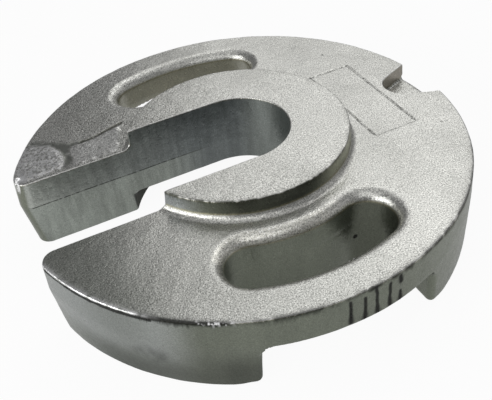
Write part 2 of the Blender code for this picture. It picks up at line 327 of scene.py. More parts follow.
def form(points):
    """The cast form: less than nothing inside the iron."""
    x = points[:, 0] - AXIS_X
    y = points[:, 1]
    z = points[:, 2]
    radius = np.hypot(x, y)
    slot = slot_distance(x, y, z)
    rim = rim_distance(x, y, z)

    ring = radius - RING_FOOT_RADIUS + (z - PLATE_TOP) * DRAFT
    ring = round_max(ring, z - RING_TOP, RING_EDGE)
    solid = round_min(z - PLATE_TOP, ring, RING_FILLET)

    plan = np.maximum(np.maximum(rim, -slot), tip_distance(x, y, z))
    by_handle = bump(np.abs(x) + 4.0 * np.minimum(np.abs(y) - 90.0 * MM, 0.0), 0.0, 58.0 * MM)
    rim_edge = RIM_EDGE + (WORN_RIM_EDGE - RIM_EDGE) * by_handle * ramp(-y, 80.0 * MM, 95.0 * MM)
    edge = SLOT_EDGE + (rim_edge - SLOT_EDGE) * ramp(rim + slot, -3.0 * MM, 3.0 * MM)
    by_ring = bump(radius, RING_FOOT_RADIUS, 2.5 * MM) * ramp(z, PLATE_TOP + 0.5 * MM, PLATE_TOP + 2.5 * MM)
    solid = round_max(solid, plan, edge + (RING_CORNER - edge) * by_ring)
    gap = gap_distance(x, y, z)
    by_gap = ramp(gap, 14.0 * MM, 3.0 * MM)
    solid = round_max(solid, -z, FOOT_EDGE + (FOOT_END - FOOT_EDGE) * by_gap)

    seat = round_max(radius - SEAT_RADIUS + z * DRAFT, z - SEAT_DEPTH, SEAT_FILLET)
    solid = round_max(solid, -seat, SEAT_EDGE)

    edge = NO_EDGE + HANDLE_EDGE * ramp(radius, 84.0 * MM, 92.0 * MM)
    hollow = round_max(-grip_distance(x, y, z), -gap, edge)
    foot_edge = FOOT_END + (INNER_FOOT_EDGE - FOOT_END) * ramp(GAP_INNER_EDGE - radius, 0.0, 4.0 * MM)
    edge = GRIP_LIP + (HANDLE_EDGE - GRIP_LIP) * ramp(PLATE_TOP - z, 7.0 * MM, 13.0 * MM)
    edge = edge + (foot_edge - edge) * ramp(GAP_ROOF - z, 0.5 * MM, 6.0 * MM)
    solid = round_max(solid, hollow, edge)

    near_floor = ramp(NOTCH_FLOOR + 2.5 * MM - z, 0.0, 2.0 * MM) * ramp(rim, -7.0 * MM, -4.0 * MM)
    edge = NOTCH_EDGE + (NOTCH_FLOOR_EDGE - NOTCH_EDGE) * near_floor
    return round_max(solid, -notch_distance(x, y, z), edge)


def path_distance(x, y, path):
    """Distance in plan from a path of straight pieces, given in millimetres."""
    nearest = np.full(len(x), 1.0)
    for (start_x, start_y), (end_x, end_y) in itertools.pairwise(path):
        step_x = (end_x - start_x) * MM
        step_y = (end_y - start_y) * MM
        out_x = x - start_x * MM
        out_y = y - start_y * MM
        share = np.clip((out_x * step_x + out_y * step_y) / (step_x ** 2 + step_y ** 2), 0.0, 1.0)
        nearest = np.minimum(nearest, np.hypot(out_x - share * step_x, out_y - share * step_y))
    return nearest


def patch_depth(x, y, corners):
    """How far in plan a place lies within a patch with these corners: less than nothing outside it."""
    closed = corners + corners[:1]
    within = np.zeros(len(x), dtype=bool)
    for (start_x, start_y), (end_x, end_y) in itertools.pairwise(closed):
        crosses = (start_y * MM > y) != (end_y * MM > y)
        lean_x = (end_x - start_x) / (end_y - start_y)
        within ^= crosses & (x < start_x * MM + (y - start_y * MM) * lean_x)
    edge = path_distance(x, y, closed)
    return np.where(within, edge, -edge)


def disc_place(points):
    """The points with the disc's axis as their origin, and whether they are near the far lobe's top."""
    place = points - np.array((AXIS_X, 0.0, 0.0))
    far_lobe = (place[:, 0] < -45.0 * MM) & (place[:, 1] > 26.0 * MM) & (place[:, 2] > 40.0 * MM)
    return place, far_lobe


def lobe_marks(place):
    """The far lobe's relief: a groove, a rough domed tip and a smoother flat patch."""
    wander = np.column_stack([noise(place, 5.0 * MM, 11), noise(place, 5.0 * MM, 12)]) * 0.3 * MM
    x = place[:, 0] + wander[:, 0]
    y = place[:, 1] + wander[:, 1]
    line = bump(path_distance(x, y, FAR_LINE), 0.0, 0.7 * MM)
    tip = ramp(patch_depth(x, y, FAR_TIP), -0.2 * MM, 3.0 * MM)
    dark = ramp(patch_depth(x, y, FAR_DARK), -0.3 * MM, 1.0 * MM)
    flat = ramp(patch_depth(x, y, FAR_FLAT), -0.4 * MM, 0.4 * MM)
    facet = ramp(patch_depth(x, y, FAR_FACET), -0.4 * MM, 0.4 * MM)
    rough = 0.12 * noise(place, 1.5 * MM, 13)
    lumps = 0.25 * ramp(noise(place, 2.2 * MM, 14), 0.5, 0.9) * bump(x, -56.5 * MM, 5.0 * MM)
    flat_height = flat * (0.15 + lumps + 0.3 * rough)
    return (tip * (0.35 + rough) + flat_height - 0.55 * line - 0.25 * dark - 0.7 * facet) * MM


def relief(points):
    """How far the skin stands proud of the cast form, and mostly how far behind it."""
    place, far_lobe = disc_place(points)
    wavy = 0.13 * noise(points, 17.0 * MM, 1) + 0.06 * noise(points, 6.0 * MM, 2)
    wavy += 0.035 * noise(points, 2.6 * MM, 3)
    height = np.minimum(wavy * MM, 0.14 * MM) - 0.14 * MM
    height[far_lobe] += lobe_marks(place[far_lobe])
    return height


def carve(solid, distance, width, depth):
    """The solid with a V-shaped groove of this half width and depth along a line."""
    slant = width / depth
    return np.maximum(solid, (width - distance - slant * np.abs(solid)) / math.hypot(1.0, slant))


def crack_distance(place, angle, top, bottom):
    """Distance on the rim's wall from one wandering crack."""
    wander = 0.5 * MM * noise(place * np.array((0.0, 0.0, 1.0)), 3.0 * MM, int(-angle))
    along = RIM_RADIUS * (np.arctan2(place[:, 1], place[:, 0]) - math.radians(angle)) + wander
    past = np.maximum(place[:, 2] - top * MM, bottom * MM - place[:, 2])
    return np.hypot(along, np.maximum(past, 0.0))


def chip_depth(place, angle, height, length, depth, half_height):
    """How deep a place lies in one chip: less than nothing outside it."""
    turn = math.radians(angle)
    middle = np.array((math.cos(turn), math.sin(turn), 0.0)) * RIM_RADIUS
    out = place - middle - np.array((0.0, 0.0, height * MM))
    outwards = out[:, 0] * math.cos(turn) + out[:, 1] * math.sin(turn)
    along = out[:, 1] * math.cos(turn) - out[:, 0] * math.sin(turn)
    size = np.sqrt((outwards / (depth * MM)) ** 2 + (along / (length * MM)) ** 2
                   + (out[:, 2] / (half_height * MM)) ** 2)
    return (1.0 - size) * depth * MM


def undercut_distance(place):
    """Distance from the ragged line under the rim's top edge."""
    first, last = (RIM_RADIUS * math.radians(angle) for angle in UNDERCUT)
    along = RIM_RADIUS * np.arctan2(place[:, 1], place[:, 0])
    past = np.maximum(first - along, along - last)
    height = place[:, 2] - UNDERCUT_HEIGHT - 0.25 * MM * noise(place, 5.0 * MM, 15)
    ragged = 0.4 * MM * np.maximum(noise(place, 3.5 * MM, 16), -0.6)
    return np.hypot(height, np.maximum(past, 0.0)) + ragged


def mark_distance(points):
    """Distance from the nearest small mark, where the mesh has to be fine."""
    place, far_lobe = disc_place(points)
    x = place[:, 0]
    y = place[:, 1]
    z = place[:, 2]
    above = np.maximum(PLATE_TOP - 1.0 * MM - z, 0.0)
    nearest = np.hypot(frame_distance(x, y), above)
    nearest = np.minimum(nearest, np.hypot(path_distance(x, y, SCRATCH), above))
    nearest[far_lobe] = np.minimum(nearest[far_lobe], 0.3 * MM + path_distance(
        x[far_lobe], y[far_lobe], FAR_LINE))
    rim = np.abs(rim_distance(x, y, z))
    for crack in CRACKS:
        nearest = np.minimum(nearest, np.hypot(crack_distance(place, *crack), rim))
    nearest = np.minimum(nearest, np.hypot(undercut_distance(place), rim))
    burred = np.hypot(rim, z - PLATE_TOP) + RIM_RADIUS * np.maximum(
        np.abs(np.arctan2(y, x) - BURRS_MIDDLE) - BURRS_HALF_ANGLE, 0.0)
    nearest = np.minimum(nearest, burred)
    for chip in CHIPS:
        nearest = np.minimum(nearest, np.maximum(-chip_depth(place, *chip), 0.0))
    for pit_x, pit_y, pit_z, size in PITS:
        out = place - np.array((pit_x, pit_y, pit_z)) * MM
        nearest = np.minimum(nearest, np.abs(np.linalg.norm(out, axis=1) - size * MM))
    return nearest


def skin(points):
    """The finished surface: the form with its uneven skin and its marks."""
    place, _ = disc_place(points)
    solid = form(points) - relief(points)
    x = place[:, 0]
    y = place[:, 1]
    z = place[:, 2]
    top = z > PLATE_TOP - 3.0 * MM
    faint = (1.0 - frame_strength(x[top], y[top])) * FRAME_WIDTH
    solid[top] = carve(solid[top], frame_distance(x[top], y[top]) + faint, FRAME_WIDTH, FRAME_DEPTH)
    solid[top] = carve(solid[top], path_distance(x[top], y[top], SCRATCH), 0.45 * MM, 0.3 * MM)

    near = (y < 0.0) & (rim_distance(x, y, z) > -5.0 * MM)
    part = solid[near]
    spot = place[near]
    for crack in CRACKS:
        part = carve(part, crack_distance(spot, *crack), CRACK_WIDTH, CRACK_DEPTH)
    part = carve(part, undercut_distance(spot), UNDERCUT_WIDTH, UNDERCUT_WIDTH)
    for chip in CHIPS:
        part = round_max(part, chip_depth(spot, *chip), CHIP_EDGE)
    solid[near] = part

    for pit_x, pit_y, pit_z, size in PITS:
        out = place - np.array((pit_x, pit_y, pit_z)) * MM
        solid = np.maximum(solid, size * MM - np.linalg.norm(out, axis=1))
    return solid


def slope(field, points):
    """The field's gradient, and its bend, which is more than nothing on outer edges."""
    middle = field(points)
    gradient = np.empty_like(points)
    bend = -6.0 * middle
    for axis in range(3):
        offset = np.zeros(3)
        offset[axis] = PROBE
        ahead = field(points + offset)
        behind = field(points - offset)
        gradient[:, axis] = (ahead - behind) / (2.0 * PROBE)
        bend += ahead + behind
    return middle, gradient, bend / PROBE ** 2


def settle(field, points, rounds):
    """Moves the points onto the surface of the field."""
    for _ in range(rounds):
        value, gradient, _ = slope(field, points)
        square = np.maximum((gradient ** 2).sum(axis=1), 0.3)
        move = np.clip(value / square, -LONGEST_MOVE, LONGEST_MOVE)
        points = points - gradient * move[:, None]
    return points


def relax(points, edges, field, share):
    """Evens out the points' spacing, along the surface only."""
    total = np.zeros_like(points)
    count = np.zeros(len(points))
    for here, there in ((0, 1), (1, 0)):
        count += np.bincount(edges[:, here], minlength=len(points))
        for axis in range(3):
            total[:, axis] += np.bincount(
                edges[:, here], weights=points[edges[:, there], axis], minlength=len(points))
    pull = total / count[:, None] - points
    _, gradient, _ = slope(field, points)
    gradient /= np.maximum(np.linalg.norm(gradient, axis=1), 0.1)[:, None]
    pull -= gradient * (pull * gradient).sum(axis=1)[:, None]
    return points + share * pull


def mesh_points(mesh):
    points = np.empty(len(mesh.vertices) * 3)
    mesh.vertices.foreach_get("co", points)
    return points.reshape(-1, 3)


def set_mesh_points(mesh, points):
    mesh.vertices.foreach_set("co", points.ravel())
    mesh.update()


def mesh_edges(mesh):
    edges = np.empty(len(mesh.edges) * 2, dtype=np.int32)
    mesh.edges.foreach_get("vertices", edges)
    return edges.reshape(-1, 2)


def applied(thing):
    """The object's mesh with its modifiers applied, which the object then holds alone."""
    bpy.context.view_layer.update()
    mesh = bpy.data.meshes.new_from_object(thing.evaluated_get(bpy.context.evaluated_depsgraph_get()))
    thing.modifiers.clear()
    thing.data = mesh
    return mesh


def long_edges(mesh):
    """The edges to split: those that are long for what the skin does near them."""
    points = mesh_points(mesh)
    edges = mesh_edges(mesh)
    middle = (points[edges[:, 0]] + points[edges[:, 1]]) / 2.0
    length = np.linalg.norm(points[edges[:, 0]] - points[edges[:, 1]], axis=1)
    _, _, bend = slope(form, points)
    sharp = np.abs(bend) * MM > 0.3
    wanted = np.where(sharp[edges[:, 0]] | sharp[edges[:, 1]], EDGE_SPACING, LARGEST_SPACING)
    marks = mark_distance(middle)
    wanted = np.minimum(wanted, np.maximum(MARK_SPACING, 0.8 * marks))
    return np.flatnonzero(length > 1.4 * wanted)


def refine(mesh):
    """Splits the mesh's long edges at edges and small marks."""
    builder = bmesh.new()
    builder.from_mesh(mesh)
    builder.edges.ensure_lookup_table()
    chosen = [builder.edges[index] for index in long_edges(mesh)]
    bmesh.ops.subdivide_edges(builder, edges=chosen, cuts=1, use_grid_fill=False)
    wide = [face for face in builder.faces if len(face.verts) > 3]
    bmesh.ops.triangulate(builder, faces=wide, quad_method="SHORT_EDGE")
    builder.to_mesh(mesh)
    builder.free()
    mesh.update()


def coarse_skin(points):
    """The form with only its broad waves."""
    return form(points) - 0.1 * MM * noise(points, 17.0 * MM, 1)


def casting_mesh(thing):
    """Gives the object the casting's finished mesh."""
    remesh = thing.modifiers.new("remesh", "REMESH")
    remesh.mode = "VOXEL"
    remesh.voxel_size = VOXEL
    mesh = applied(thing)
    points = settle(form, mesh_points(mesh), 3)
    edges = mesh_edges(mesh)
    for _ in range(2):
        points = settle(form, relax(points, edges, form, 0.5), 1)
    set_mesh_points(mesh, settle(coarse_skin, points, 1))

    decimate = thing.modifiers.new("decimate", "DECIMATE")
    decimate.ratio = min(1.0, DECIMATED_FACES / (2.0 * len(mesh.polygons)))
    mesh = applied(thing)
    for _ in range(REFINING_ROUNDS):
        refine(mesh)
        set_mesh_points(mesh, settle(form, mesh_points(mesh), 1))
    points = mesh_points(mesh)
    points = settle(skin, relax(points, mesh_edges(mesh), form, 0.4), 3)
    set_mesh_points(mesh, points)
    return mesh


def attach(mesh, name, values):
    """Stores one number a point, for the material."""
    layer = mesh.attributes.new(name, "FLOAT", "POINT")
    layer.data.foreach_set("value", values.astype(np.float32))


def dirt_and_shade(points):
    """How dark each place is made: old dirt in cracks, chips, grooves and a smudge, and painted shade low on the
    rim's wall, at the foot's end, on the notch's floor and in the seat's wall.
    """
    place, _ = disc_place(points)
    x = place[:, 0]
    y = place[:, 1]
    z = place[:, 2]
    rim = np.abs(rim_distance(x, y, z))
    dark = 0.8 * ramp(frame_distance(x, y) + np.abs(z - PLATE_TOP), 1.1 * MM, 0.4 * MM)
    dark *= frame_strength(x, y) ** 2
    for crack in CRACKS:
        wide = 1.3 * MM + 0.9 * MM * ramp(z, (crack[2] + 6.0) * MM, (crack[2] + 1.0) * MM)
        dark = np.maximum(dark, ramp(np.hypot(crack_distance(place, *crack), rim), wide, 0.35 * MM))
    dark = np.maximum(dark, ramp(np.hypot(np.maximum(undercut_distance(place), 0.0), rim), 1.05 * MM, 0.6 * MM))
    for chip in CHIPS:
        dark = np.maximum(dark, 0.6 * ramp(chip_depth(place, *chip), -0.5 * MM, 0.2 * MM))
    for pit_x, pit_y, pit_z, size in PITS:
        out = place - np.array((pit_x, pit_y, pit_z)) * MM
        dark = np.maximum(dark, ramp(np.linalg.norm(out, axis=1), (size + 0.5) * MM, size * 0.9 * MM))
    angle = np.degrees(np.arctan2(y, x))
    wall = ramp(rim, 4.0 * MM, 2.0 * MM) * ramp(z, PLATE_TOP - 2.0 * MM, PLATE_TOP - 4.0 * MM)
    smudge = bump(angle, -134.5, 4.5) * bump(z, 17.5 * MM, 6.0 * MM) * (1.0 + noise(place, 3.0 * MM, 17))
    # Painted shade: the rim's wall is darker towards the bottom and towards the foot's end.
    low = ramp(z, 22.0 * MM, 7.0 * MM) * ramp(angle, -160.0, -142.0)
    end = ramp(angle, -134.0, -114.0) * ramp(z, 30.0 * MM, 12.0 * MM)
    shade = np.maximum(0.45 * smudge, np.maximum(0.42 * low, 0.55 * end) * ramp(angle, -100.0, -118.0))
    # Painted shadow: a dark crescent on the notch's floor along its near side.
    crescent = ramp(NOTCH_OFFSET_Y - y, 5.5 * MM, 9.0 * MM) * bump(z, NOTCH_FLOOR + 0.5 * MM, 2.0 * MM)
    crescent *= ramp(x, 98.0 * MM, 102.0 * MM) * ramp(notch_distance(x, y, z), 2.0 * MM, 1.0 * MM)
    crescent *= ramp(x, 118.0 * MM, 114.0 * MM)
    dark = np.maximum(dark, 0.5 * crescent)
    # Painted shade: the seat's wall is darkened.
    seat = ramp(np.hypot(x, y), SEAT_RADIUS - 4.0 * MM, SEAT_RADIUS - 1.5 * MM) * ramp(z, SEAT_DEPTH, SEAT_DEPTH - 1.0 * MM)
    seat *= ramp(np.hypot(x, y), SEAT_RADIUS + 0.9 * MM, SEAT_RADIUS + 0.3 * MM)
    return np.maximum(np.maximum(dark, shade * wall), 0.7 * seat)


def ragged_edge(points):
    """The handle's top edge, where dirt and small breaks darken it."""
    place, _ = disc_place(points)
    angle = np.degrees(np.arctan2(place[:, 1], place[:, 0]))
    rim = rim_distance(place[:, 0], place[:, 1], place[:, 2])
    line = bump(rim, 0.0, 1.3 * MM) * bump(place[:, 2], PLATE_TOP - 0.8 * MM, 1.1 * MM)
    broken = ramp(noise(place, 2.6 * MM, 18) + 0.6 * noise(place, 6.0 * MM, 19), -0.9, 0.1)
    whole = ramp(angle, -139.0, -133.0) * ramp(angle, -113.0, -121.0)
    broken *= ramp(angle, -118.0, -108.0) * ramp(angle, -20.0, -36.0)
    return np.minimum(line * np.maximum(0.85 * broken, 1.7 * whole), 1.0)


def describe(mesh):
    """Smooth normals from the field, and the masks that the material reads."""
    points = mesh_points(mesh)
    _, gradient, _ = slope(skin, points)
    normals = gradient / np.maximum(np.linalg.norm(gradient, axis=1), 0.0001)[:, None]
    mesh.shade_smooth()
    mesh.normals_split_custom_set_from_vertices(normals)
    _, broad, bend = slope(form, points)
    upward = broad[:, 2] / np.maximum(np.linalg.norm(broad, axis=1), 0.0001)
    place, far_lobe = disc_place(points)
    x = place[:, 0]
    y = place[:, 1]
    slot = ramp(-slot_distance(x, y, place[:, 2]), -1.5 * MM, -0.5 * MM)
    lobe = np.where(far_lobe, 1.0, 0.0)
    attach(mesh, "upward", ramp(upward, 0.05, 0.6))
    attach(mesh, "outer_edge", ramp(bend * MM, 0.15, 0.9))
    attach(mesh, "crease_shade", ramp(-bend * MM, 0.1, 0.6))
    attach(mesh, "dirt_and_shade", dirt_and_shade(points))
    attach(mesh, "ragged", ragged_edge(points))
    attach(mesh, "slot_wall", slot * ramp(upward, 0.5, 0.2))
    attach(mesh, "far_dark", lobe * ramp(patch_depth(x, y, FAR_DARK), -0.5 * MM, 0.5 * MM))
    pale = np.maximum(patch_depth(x, y, FAR_FLAT), patch_depth(x, y, FAR_TIP))
    attach(mesh, "far_pale", lobe * ramp(pale, -0.4 * MM, 0.4 * MM))
    attach(mesh, "far_tip", lobe * ramp(patch_depth(x, y, FAR_TIP), -0.4 * MM, 0.4 * MM))
    attach(mesh, "far_line", lobe * ramp(path_distance(x, y, FAR_LINE), 1.5 * MM, 0.6 * MM))
    # Painted highlight: the small facet on the far lobe's tip is made near white.
    attach(mesh, "far_facet_highlight", lobe * ramp(patch_depth(x, y, FAR_FACET), -0.4 * MM, 0.2 * MM))
    radius = np.hypot(x, y)
    angle = np.degrees(np.arctan2(y, x))
    # Wear with a painted highlight: a broken bright strip along the rim's top edge at the near lobe.
    strip = bump(rim_distance(x, y, place[:, 2]), -0.4 * MM, 1.1 * MM)
    strip *= bump(place[:, 2], PLATE_TOP - 0.3 * MM, 0.9 * MM)
    strip *= ramp(angle, -175.0, -168.0) * ramp(angle, -130.0, -139.0)
    strip *= ramp(noise(place, 2.4 * MM, 21), -0.9, 0.1)
    # Painted highlights: small bright bits on the rim's top edge stand in for glints on burrs.
    bits = bump(place[:, 2], PLATE_TOP - 0.7 * MM, 0.9 * MM) * ramp(noise(place, 0.9 * MM, 23), 0.1, 0.35)
    bits *= ramp(angle, -125.0, -123.0) * ramp(angle, -115.0, -117.0)
    bits *= bump(rim_distance(x, y, place[:, 2]), -0.2 * MM, 1.2 * MM)
    attach(mesh, "worn_edge_glint", strip)
    attach(mesh, "burr_glints", bits)
    wall = ramp(upward, 0.4, 0.1)
    at_rim = ramp(np.abs(rim_distance(x, y, place[:, 2])), 4.0 * MM, 2.0 * MM) * wall
    # Painted light: a pale colour on the rim's wall at the foot, strongest at mid height and to the left, stands in
    # for the lit floor that the wall reflects.
    foot = at_rim * ramp(angle, -122.0, -134.0) * ramp(angle, -179.0, -172.0)
    foot *= 0.72 + 0.28 * ramp(angle, -138.0, -152.0)
    attach(mesh, "painted_light_foot", foot * (0.45 + 0.55 * ramp(place[:, 2], 10.0 * MM, 24.0 * MM)))
    in_grip = ramp(np.abs(grip_distance(x, y, place[:, 2])), 2.5 * MM, 1.0 * MM) * wall
    # Painted light: the far grip's hollow wall is made paler than its shade would leave it.
    attach(mesh, "far_grip_painted_light", in_grip * ramp(y, 0.0, 10.0 * MM))
    # Painted shade: the end of the near grip's hollow is darkened.
    dark_end = ramp(x, 22.0 * MM, 32.0 * MM) * ramp(place[:, 2], 48.0 * MM, 38.0 * MM)
    attach(mesh, "near_grip_end_shade", in_grip * ramp(y, 0.0, -10.0 * MM) * dark_end)
    at_ring = ramp(np.abs(radius - RING_FOOT_RADIUS), 2.5 * MM, 1.2 * MM) * wall
    # Painted shade: the ring's side towards the front is darkened.
    attach(mesh, "ring_side_shade", at_ring * ramp(angle, -150.0, -112.0) * ramp(angle, -62.0, -85.0))
    attach(mesh, "ring_pale", at_ring * ramp(angle, -82.0, -58.0) * ramp(angle, 60.0, 30.0))
    attach(mesh, "ring_front", at_ring * ramp(angle, -125.0, -146.0))
    attach(mesh, "slot_end", ramp(x, 8.0 * MM, 24.0 * MM) * slot * wall)
    in_notch = ramp(np.abs(notch_distance(x, y, place[:, 2])), 2.0 * MM, 1.0 * MM)
    attach(mesh, "notch_wall", in_notch * wall)
    # Wear with a painted highlight: the near grip's sloping lip is made bright.
    lip = ramp(grip_distance(x, y, place[:, 2]), 8.0 * MM, 5.5 * MM) * ramp(upward, 0.2, 0.4)
    lip *= ramp(upward, 0.995, 0.96) * ramp(x, 26.0 * MM, 8.0 * MM)
    attach(mesh, "worn_lip_sheen", lip * ramp(y, 0.0, -10.0 * MM) * ramp(radius, 92.0 * MM, 88.0 * MM))
    attach(mesh, "far_rough", ramp(x, 0.0, -45.0 * MM) * ramp(y, 10.0 * MM, 30.0 * MM) * ramp(upward, 0.5, 0.8))
    ring_edge = bump(radius, RING_FOOT_RADIUS - 0.6 * MM, 0.9 * MM)
    ring_edge *= ramp(place[:, 2], RING_TOP - 2.2 * MM, RING_TOP - 0.8 * MM)
    ring_edge *= 1.0 - 0.35 * ramp(angle, -85.0, -60.0)
    attach(mesh, "ring_edge", ring_edge * ramp(noise(place, 2.0 * MM, 22), -0.8, 0.1))
    # Grime with painted shade: the near lobe's top by the slot's mouth, and weakly the near handle's top, are
    # darkened.
    mouth_grime_and_shade = ramp(x, -55.0 * MM, -105.0 * MM) * ramp(y, -20.0 * MM, -30.0 * MM)
    handle = ramp(x, 35.0 * MM, -10.0 * MM) * ramp(y, -60.0 * MM, -95.0 * MM)
    attach(mesh, "mouth_grime_and_shade", np.maximum(mouth_grime_and_shade, 0.22 * handle))


def new_material(name):
    material = bpy.data.materials.new(name)
    material.use_nodes = True
    material.node_tree.nodes.clear()
    return material, material.node_tree


class Nodes:
    """Short ways to add and join a material's nodes."""

    def __init__(self, tree):
        self.tree = tree

    def add(self, kind, inputs=None, **settings):
        node = self.tree.nodes.new(kind)
        for name, value in settings.items():
            setattr(node, name, value)
        for name, value in (inputs or {}).items():
            self.feed(node.inputs[name], value)
        return node

    def feed(self, socket, value):
        if isinstance(value, bpy.types.NodeSocket):
            self.tree.links.new(value, socket)
        else:
            socket.default_value = value

    def mask(self, name):
        return self.add("ShaderNodeAttribute", attribute_name=name).outputs["Fac"]

    def grain(self, place, scale, detail):
        inputs = {"Vector": place, "Scale": scale, "Detail": detail, "Roughness": 0.6}
        return self.add("ShaderNodeTexNoise", inputs).outputs["Fac"]

    def sum_of(self, kind, first, second):
        return self.add("ShaderNodeMath", {0: first, 1: second}, operation=kind).outputs[0]

    def grey(self, value):
        return self.add("ShaderNodeCombineColor", {0: value, 1: value, 2: value}).outputs[0]

    def between(self, value, low, high, new_low=0.0, new_high=1.0):
        inputs = {"Value": value, "From Min": low, "From Max": high, "To Min": new_low, "To Max": new_high}
        return self.add("ShaderNodeMapRange", inputs, clamp=True).outputs[0]

    def blend(self, share, first, second, kind="MIX"):
        node = self.add("ShaderNodeMix", data_type="RGBA", blend_type=kind)
        self.feed(node.inputs[0], share)
        self.feed(node.inputs[6], first)
        self.feed(node.inputs[7], second)
        return node.outputs[2]


# Painted light: the lit colour of the faces that point up.
LIT_TOP_COLOR = (0.61, 0.61, 0.575, 1.0)
# Painted light: the half-lit brownish colour on the lips, between the lit tops and the shaded walls.
LIP_COLOR = (0.37, 0.345, 0.24, 1.0)
FOOT_LIGHT_COLOR = (0.63, 0.65, 0.645, 1.0)
FAR_GRIP_LIGHT_COLOR = (0.52, 0.515, 0.45, 1.0)
NOTCH_COLOR = (0.33, 0.305, 0.26, 1.0)
RING_SIDE_COLOR = (0.46, 0.47, 0.36, 1.0)
RING_FRONT_COLOR = (0.33, 0.35, 0.36, 1.0)
# Painted shade: the shaded colour of the walls, darker than the tops.
SHADED_WALL_COLOR = (0.20, 0.216, 0.175, 1.0)
# Slot walls: painted shade darkens the upper half from the mouth inwards, and a painted reflection of the floor
# lightens the lower half.
FRONT_SLOT_COLOR = (0.40, 0.42, 0.39, 1.0)
INNER_SLOT_SHADE_COLOR = (0.205, 0.225, 0.225, 1.0)
SLOT_FLOOR_REFLECTION_COLOR = (0.32, 0.345, 0.315, 1.0)
WORN_LIP_SHEEN_COLOR = (0.84, 0.83, 0.76, 1.0)
WORN_COLOR = (0.72, 0.72, 0.70, 1.0)
# Dark grime, also used as painted shade in creases, on the ring's front side and at the near grip's end.
GRIME_AND_SHADE_COLOR = (0.06, 0.063, 0.048, 1.0)
MOUTH_GRIME_AND_SHADE_COLOR = (0.09, 0.105, 0.085, 1.0)
BLACK_COLOR = (0.012, 0.013, 0.010, 1.0)
BRIGHT_COLOR = (0.92, 0.92, 0.92, 1.0)
SMOOTH_COLOR = (0.24, 0.25, 0.225, 1.0)


def wall_color(nodes, place, coarse):
    """The walls' greys: a dark line at the parting plane of the slot, with a painted reflection of the floor below it
    and painted shade that deepens into the slot above it; then painted light on the foot and the far grip, painted
    shade on the ring's front side and at the near grip's end, and tints on the notch and the ring's sides.
    """
    parts = nodes.add("ShaderNodeSeparateXYZ", {"Vector": place})
    height = parts.outputs["Z"]
    inwards = parts.outputs["X"]
    slot = nodes.mask("slot_wall")
    upper = nodes.blend(nodes.between(inwards, -115.0 * MM, -20.0 * MM), FRONT_SLOT_COLOR, INNER_SLOT_SHADE_COLOR)
    above = nodes.between(height, PARTING_HEIGHT - 1.0 * MM, PARTING_HEIGHT + 0.6 * MM)
    above = nodes.sum_of("MAXIMUM", above, nodes.between(inwards, -40.0 * MM, -12.0 * MM))
    slot_color = nodes.blend(above, SLOT_FLOOR_REFLECTION_COLOR, upper)
    color = nodes.blend(slot, SHADED_WALL_COLOR, slot_color)
    off = nodes.sum_of("ABSOLUTE", nodes.sum_of("SUBTRACT", height, PARTING_HEIGHT), 0.0)
    line = nodes.between(off, 0.2 * MM, 0.45 * MM, 0.85, 0.0)
    line = nodes.sum_of("MULTIPLY", line, nodes.between(inwards, -5.0 * MM, -30.0 * MM))
    line = nodes.sum_of("MULTIPLY", nodes.sum_of("MULTIPLY", line, slot), nodes.between(coarse, 0.3, 0.5))
    color = nodes.blend(line, color, BLACK_COLOR)
    upright = nodes.add("ShaderNodeVectorMath", {0: place, 1: (1.0, 1.0, 0.14)}, operation="MULTIPLY").outputs[0]
    streak = nodes.between(nodes.grain(upright, 230.0, 2.0), 0.35, 0.65, -0.5, 0.5)
    reach = nodes.between(slot, 0.0, 1.0, 0.07, 0.3)
    streak = nodes.sum_of("ADD", nodes.sum_of("MULTIPLY", streak, reach), 1.0)
    color = nodes.blend(1.0, color, nodes.grey(streak), "MULTIPLY")
    # Painted light on the foot's wall.
    color = nodes.blend(nodes.mask("painted_light_foot"), color, FOOT_LIGHT_COLOR)
    # Painted light in the far grip's hollow.
    color = nodes.blend(nodes.mask("far_grip_painted_light"), color, FAR_GRIP_LIGHT_COLOR)
    color = nodes.blend(nodes.mask("notch_wall"), color, NOTCH_COLOR)
    color = nodes.blend(nodes.mask("ring_pale"), color, RING_SIDE_COLOR)
    color = nodes.blend(nodes.mask("ring_front"), color, RING_FRONT_COLOR)
    # Painted reflection: half of the lower slot colour on the slot's end wall.
    color = nodes.blend(nodes.sum_of("MULTIPLY", nodes.mask("slot_end"), 0.5), color, SLOT_FLOOR_REFLECTION_COLOR)
    # Painted shade at the near grip's end.
    color = nodes.blend(nodes.sum_of("MULTIPLY", nodes.mask("near_grip_end_shade"), 0.45), color, GRIME_AND_SHADE_COLOR)
    # Painted shade on the ring's front side.
    return nodes.blend(nodes.sum_of("MULTIPLY", nodes.mask("ring_side_shade"), 0.7), color, GRIME_AND_SHADE_COLOR)


